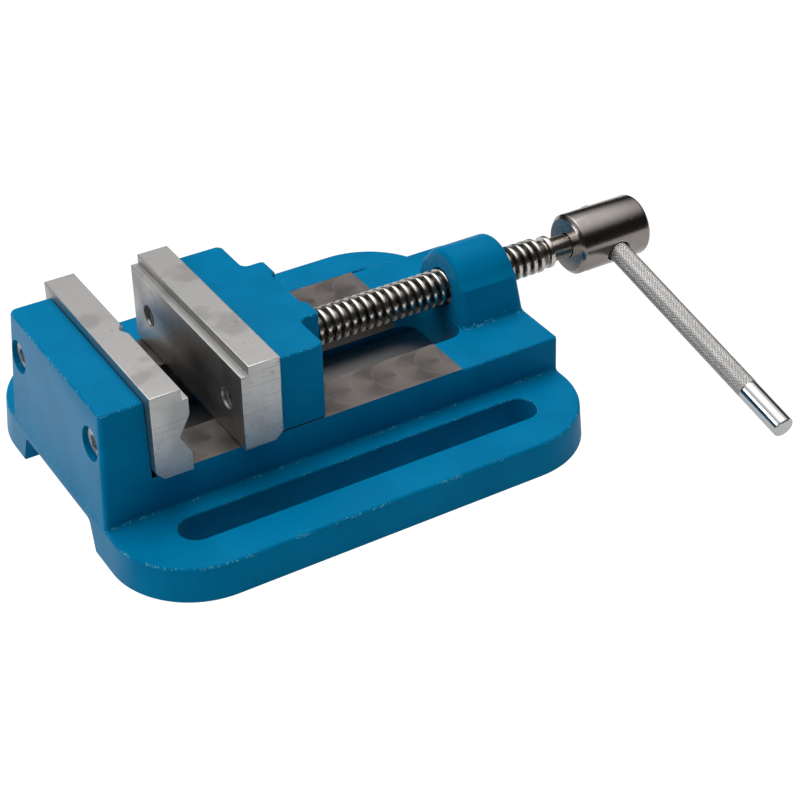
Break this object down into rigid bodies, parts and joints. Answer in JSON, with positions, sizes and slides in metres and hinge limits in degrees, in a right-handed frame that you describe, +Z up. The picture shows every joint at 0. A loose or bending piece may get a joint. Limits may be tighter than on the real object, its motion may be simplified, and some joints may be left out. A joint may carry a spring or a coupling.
{
  "type": "bench vise",
  "caption": "Low bench vise with a slotted cast base, steel-plated fixed and sliding jaws, a lead screw in a nut boss and a knurled tommy bar.",
  "frame": {"origin": "bottom centre of the bounding box, on the bench under the bed", "axes": "+X from the fixed jaw to the handle along the screw, +Y away from the side the handle bar points to, +Z up"},
  "size_m": [0.2872, 0.2218, 0.0712],
  "materials": {
    "base_casting": "blue enamel over cast iron, satin",
    "fixed_jaw_plate": "surface-ground steel",
    "fixed_jaw_screw_near": "zinc plated",
    "fixed_jaw_screw_far": "zinc plated",
    "moving_jaw_casting": "blue enamel over cast iron, satin",
    "moving_jaw_plate": "surface-ground steel",
    "moving_jaw_screw_near": "black oxide screw",
    "moving_jaw_screw_far": "black oxide screw",
    "guide_plate": "milled steel",
    "guide_bolt_near": "zinc plated",
    "guide_bolt_far": "zinc plated",
    "guide_washer_near": "zinc plated",
    "guide_washer_far": "zinc plated",
    "screw_retaining_pin_near": "ground dowel",
    "screw_retaining_pin_far": "ground dowel",
    "thrust_disc": "hardened and ground",
    "lead_screw": "bright turned steel, oiled",
    "screw_hub": "nickel plated, satin turned",
    "hub_pin": "spring pin",
    "handle_grub_screw": "black oxide screw",
    "handle_bar": "zinc plated, knurled, with a smooth end"
  },
  "bodies": {
    "base": {"base_casting": "base_casting", "fixed_jaw_plate": "fixed_jaw_plate", "fixed_jaw_screw_near": "fixed_jaw_screw_near", "fixed_jaw_screw_far": "fixed_jaw_screw_far"},
    "moving_jaw": {"moving_jaw_casting": "moving_jaw_casting", "moving_jaw_plate": "moving_jaw_plate", "moving_jaw_screw_near": "moving_jaw_screw_near", "moving_jaw_screw_far": "moving_jaw_screw_far", "guide_plate": "guide_plate", "guide_bolt_near": "guide_bolt_near", "guide_bolt_far": "guide_bolt_far", "guide_washer_near": "guide_washer_near", "guide_washer_far": "guide_washer_far", "screw_retaining_pin_near": "screw_retaining_pin_near", "screw_retaining_pin_far": "screw_retaining_pin_far", "thrust_disc": "thrust_disc"},
    "screw": {"lead_screw": "lead_screw", "screw_hub": "screw_hub", "hub_pin": "hub_pin", "handle_grub_screw": "handle_grub_screw"},
    "handle": {"handle_bar": "handle_bar"}
  },
  "joints": [
    {"name": "jaw_slide", "type": "slide", "parent": "base", "child": "moving_jaw", "axis": [1, 0, 0], "range_m": [-0.0221, 0.0701]},
    {"name": "screw_turn", "type": "hinge", "parent": "moving_jaw", "child": "screw", "pos_m": [0.07975, 0.0206, 0.0429], "axis": [1, 0, 0], "range_deg": [-1980, 6300]},
    {"name": "handle_slide", "type": "slide", "parent": "screw", "child": "handle", "axis": [0, 0.9751, 0.2215], "range_m": [0, 0.118]}
  ],
  "couplings": [
    {"joint": "jaw_slide", "follows": "screw_turn", "m_per_rad": 0.00063662}
  ]
}
